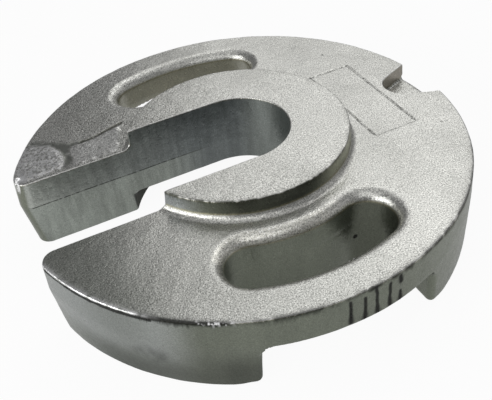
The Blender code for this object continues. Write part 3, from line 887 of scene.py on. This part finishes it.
def zinc_color(nodes, place, fine, coarse):
    """The zinc coat's colour: painted light and shade make it pale where it faces up and dark and olive on the walls;
    dirty in the marks, with painted shade and highlights in places.
    """
    upward = nodes.mask("upward")
    # Painted light and shade: lit pale tops, shaded dark walls, and a half-lit lip between them.
    lip = nodes.blend(nodes.between(upward, 0.0, 0.25), wall_color(nodes, place, coarse), LIP_COLOR)
    color = nodes.blend(nodes.between(upward, 0.2, 0.5), lip, LIT_TOP_COLOR)
    # Worn lip with a painted highlight.
    color = nodes.blend(nodes.mask("worn_lip_sheen"), color, WORN_LIP_SHEEN_COLOR)
    contrast = nodes.between(upward, 0.3, 0.8, 0.35, 1.0)
    contrast = nodes.sum_of("MULTIPLY", contrast, nodes.between(nodes.mask("far_rough"), 0.0, 1.0, 1.0, 1.6))
    fine_grain = nodes.sum_of("MULTIPLY", nodes.between(fine, 0.3, 0.7, -0.62, 0.62), contrast)
    color = nodes.blend(1.0, color, nodes.grey(nodes.sum_of("ADD", fine_grain, 1.0)), "MULTIPLY")
    cloudy = nodes.grain(place, 28.0, 4.0)
    color = nodes.blend(nodes.between(cloudy, 0.35, 0.7, 0.0, 0.2), color, GRIME_AND_SHADE_COLOR)

    patchy = nodes.sum_of("MULTIPLY", nodes.between(coarse, 0.35, 0.6, 0.3, 0.75), upward)
    color = nodes.blend(nodes.sum_of("MULTIPLY", nodes.mask("outer_edge"), patchy), color, WORN_COLOR)
    # Painted shade: concave creases are darkened patchily.
    patchy = nodes.between(coarse, 0.3, 0.7, 0.05, 0.28)
    color = nodes.blend(nodes.sum_of("MULTIPLY", nodes.mask("crease_shade"), patchy), color, GRIME_AND_SHADE_COLOR)
    # Grime and painted shade by the slot's mouth.
    color = nodes.blend(nodes.sum_of("MULTIPLY", nodes.mask("mouth_grime_and_shade"), 0.6), color, MOUTH_GRIME_AND_SHADE_COLOR)
    color = nodes.blend(nodes.sum_of("MULTIPLY", nodes.mask("far_pale"), 0.3), color, BRIGHT_COLOR)
    specks = nodes.grain(place, 620.0, 2.0)
    pale = nodes.sum_of("MULTIPLY", nodes.between(specks, 0.46, 0.58, 0.0, 0.8), nodes.mask("far_tip"))
    color = nodes.blend(pale, color, BRIGHT_COLOR)
    dull = nodes.sum_of("MULTIPLY", nodes.between(specks, 0.47, 0.36, 0.0, 0.38), nodes.mask("far_rough"))
    color = nodes.blend(dull, color, GRIME_AND_SHADE_COLOR)
    color = nodes.blend(nodes.sum_of("MULTIPLY", nodes.mask("far_dark"), 0.95), color, SMOOTH_COLOR)
    color = nodes.blend(nodes.sum_of("MULTIPLY", nodes.mask("far_line"), 0.9), color, GRIME_AND_SHADE_COLOR)
    color = nodes.blend(nodes.sum_of("MULTIPLY", nodes.mask("ragged"), 0.9), color, BLACK_COLOR)
    color = nodes.blend(nodes.mask("ring_edge"), color, GRIME_AND_SHADE_COLOR)
    # Painted highlight on the far lobe's facet.
    color = nodes.blend(nodes.mask("far_facet_highlight"), color, BRIGHT_COLOR)
    # Painted highlight on the worn rim edge.
    color = nodes.blend(nodes.mask("worn_edge_glint"), color, BRIGHT_COLOR)
    # Dirt and painted shade, near black.
    color = nodes.blend(nodes.mask("dirt_and_shade"), color, BLACK_COLOR)
    # Painted highlights of burrs.
    return nodes.blend(nodes.mask("burr_glints"), color, BRIGHT_COLOR)


def zinc_material():
    """Rough zinc plated iron."""
    material, tree = new_material("zinc_plate_rough")
    nodes = Nodes(tree)
    place = nodes.add("ShaderNodeTexCoord").outputs["Object"]
    fine = nodes.grain(place, 1500.0, 2.0)
    coarse = nodes.grain(place, 420.0, 3.0)
    color = zinc_color(nodes, place, fine, coarse)

    roughness = nodes.between(coarse, 0.3, 0.7, 0.26, 0.36)
    dull = nodes.sum_of("MAXIMUM", nodes.mask("dirt_and_shade"), nodes.mask("ragged"))
    roughness = nodes.sum_of("ADD", roughness, nodes.between(dull, 0.0, 1.0, 0.0, 0.5))
    height = nodes.sum_of("ADD", nodes.sum_of("MULTIPLY", fine, 0.5), coarse)
    strength = nodes.between(nodes.mask("far_dark"), 0.0, 1.0, 0.75, 0.15)
    normal = nodes.add("ShaderNodeBump", {
        "Height": height, "Strength": strength, "Distance": 0.25 * MM}).outputs[0]
    metal = nodes.between(nodes.mask("dirt_and_shade"), 0.0, 1.0, 0.9, 0.3)
    shader = nodes.add("ShaderNodeBsdfPrincipled", {
        "Base Color": color, "Roughness": roughness, "Metallic": metal, "Normal": normal})
    output = nodes.add("ShaderNodeOutputMaterial")
    tree.links.new(shader.outputs[0], output.inputs["Surface"])
    return material


def white_share(nodes):
    """The floor's share of plain white: most for rays from the camera, less for those that metal shows."""
    path = nodes.add("ShaderNodeLightPath")
    direct = nodes.sum_of("MULTIPLY", path.outputs["Is Camera Ray"], FLOOR_WHITE_SHARE)
    shown = nodes.sum_of("MULTIPLY", path.outputs["Is Glossy Ray"], FLOOR_SHOWN_SHARE)
    return nodes.sum_of("MAXIMUM", direct, shown)


FLOOR_COLOR = (0.88, 0.88, 0.88, 1.0)
FLOOR_WHITE_SHARE = 0.94
FLOOR_SHOWN_SHARE = 0.4
FLOOR_SIZE = 6.0
FLOOR_DROP = 0.2 * MM


def add_floor():
    """A plain pale floor that reads as white and keeps a soft shadow."""
    mesh = bpy.data.meshes.new("floor")
    builder = bmesh.new()
    bmesh.ops.create_grid(builder, x_segments=1, y_segments=1, size=FLOOR_SIZE / 2.0)
    builder.to_mesh(mesh)
    builder.free()
    floor = bpy.data.objects.new("floor", mesh)
    floor.location.z = -FLOOR_DROP
    bpy.context.scene.collection.objects.link(floor)
    material, tree = new_material("floor_paper")
    nodes = Nodes(tree)
    diffuse = nodes.add("ShaderNodeBsdfDiffuse", {"Color": FLOOR_COLOR}).outputs[0]
    white = nodes.add("ShaderNodeEmission", {"Color": (1.0, 1.0, 1.0, 1.0), "Strength": 1.0}).outputs[0]
    mix = nodes.add("ShaderNodeMixShader", {0: white_share(nodes), 1: diffuse, 2: white})
    output = nodes.add("ShaderNodeOutputMaterial")
    tree.links.new(mix.outputs[0], output.inputs["Surface"])
    mesh.materials.append(material)


def direction(azimuth, elevation):
    """A unit vector, with the azimuth counted from +X towards +Y, in degrees."""
    turn = math.radians(azimuth)
    rise = math.radians(elevation)
    return Vector((math.cos(turn) * math.cos(rise), math.sin(turn) * math.cos(rise), math.sin(rise)))


def add_softbox(name, azimuth, elevation, distance, width, height, power):
    """A soft rectangular lamp that faces the weight."""
    lamp = bpy.data.lights.new(name, "AREA")
    lamp.shape = "RECTANGLE"
    lamp.size = width
    lamp.size_y = height
    lamp.energy = power
    away = direction(azimuth, elevation)
    thing = bpy.data.objects.new(name, lamp)
    thing.location = away * distance
    thing.rotation_euler = away.to_track_quat("Z", "Y").to_euler()
    thing.visible_camera = False
    bpy.context.scene.collection.objects.link(thing)


def add_lights():
    add_softbox("key_right", 20.0, 42.0, 1.2, 0.8, 1.0, 1.9)
    add_softbox("key_rear", 58.0, 42.0, 1.2, 0.7, 1.0, 2.1)
    add_softbox("overhead", 70.0, 85.0, 1.2, 1.2, 1.2, 1.8)
    add_softbox("fill_front", -110.0, 50.0, 1.2, 1.0, 0.7, 2.0)
    add_softbox("fill_right", -30.0, 25.0, 1.0, 0.8, 0.5, 0.4)
    add_softbox("side_left", -165.0, 22.0, 1.0, 1.1, 0.5, 5.5)
    world = bpy.data.worlds.new("studio")
    bpy.context.scene.world = world
    world.use_nodes = True
    world.node_tree.nodes.clear()
    nodes = Nodes(world.node_tree)
    path = nodes.add("ShaderNodeLightPath")
    color = nodes.blend(path.outputs["Is Camera Ray"], (0.16, 0.16, 0.165, 1.0), (0.985, 0.985, 0.985, 1.0))
    back = nodes.add("ShaderNodeBackground", {"Color": color, "Strength": 1.0})
    output = nodes.add("ShaderNodeOutputWorld")
    world.node_tree.links.new(back.outputs[0], output.inputs["Surface"])


IMAGE_WIDTH = 492
FOCAL_PIXELS = 675.13
SENSOR_WIDTH = 36.0
CAMERA_AZIMUTH = math.radians(-21.1134)
CAMERA_ELEVATION = math.radians(40.9210)
CAMERA_ROLL = math.radians(-6.9079)
CAMERA_DISTANCE = 0.33773
CAMERA_AIM = Vector((AXIS_X - 16.8625 * MM, -45.15 * MM, PLATE_TOP))


def add_camera():
    """The photograph's viewpoint."""
    data = bpy.data.cameras.new("camera")
    data.sensor_width = SENSOR_WIDTH
    data.lens = FOCAL_PIXELS * SENSOR_WIDTH / IMAGE_WIDTH
    data.clip_start = 0.01
    camera = bpy.data.objects.new("camera", data)
    level = math.cos(CAMERA_ELEVATION)
    back = Vector((math.sin(CAMERA_AZIMUTH) * level, -math.cos(CAMERA_AZIMUTH) * level,
                   math.sin(CAMERA_ELEVATION)))
    right = (-back).cross(Vector((0.0, 0.0, 1.0))).normalized()
    up = back.cross(right)
    turned_right = math.cos(CAMERA_ROLL) * right + math.sin(CAMERA_ROLL) * up
    turned_up = math.cos(CAMERA_ROLL) * up - math.sin(CAMERA_ROLL) * right
    place = Matrix((turned_right, turned_up, back)).transposed().to_4x4()
    place.translation = CAMERA_AIM + back * CAMERA_DISTANCE
    camera.matrix_world = place
    bpy.context.scene.collection.objects.link(camera)
    bpy.context.scene.camera = camera


def add_casting():
    """The visible casting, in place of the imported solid."""
    node = frame["nodes"]["weight_casting"]
    casting = bpy.data.objects.new("casting_skin", node.data.copy())
    bpy.context.scene.collection.objects.link(casting)
    casting.matrix_world = node.matrix_world
    mesh = casting_mesh(casting)
    describe(mesh)
    mesh.materials.clear()
    mesh.materials.append(zinc_material())
    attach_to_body(casting, "root")
    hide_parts("weight_casting")


add_camera()
add_casting()
add_floor()
add_lights()
bpy.context.scene.view_settings.view_transform = "Standard"
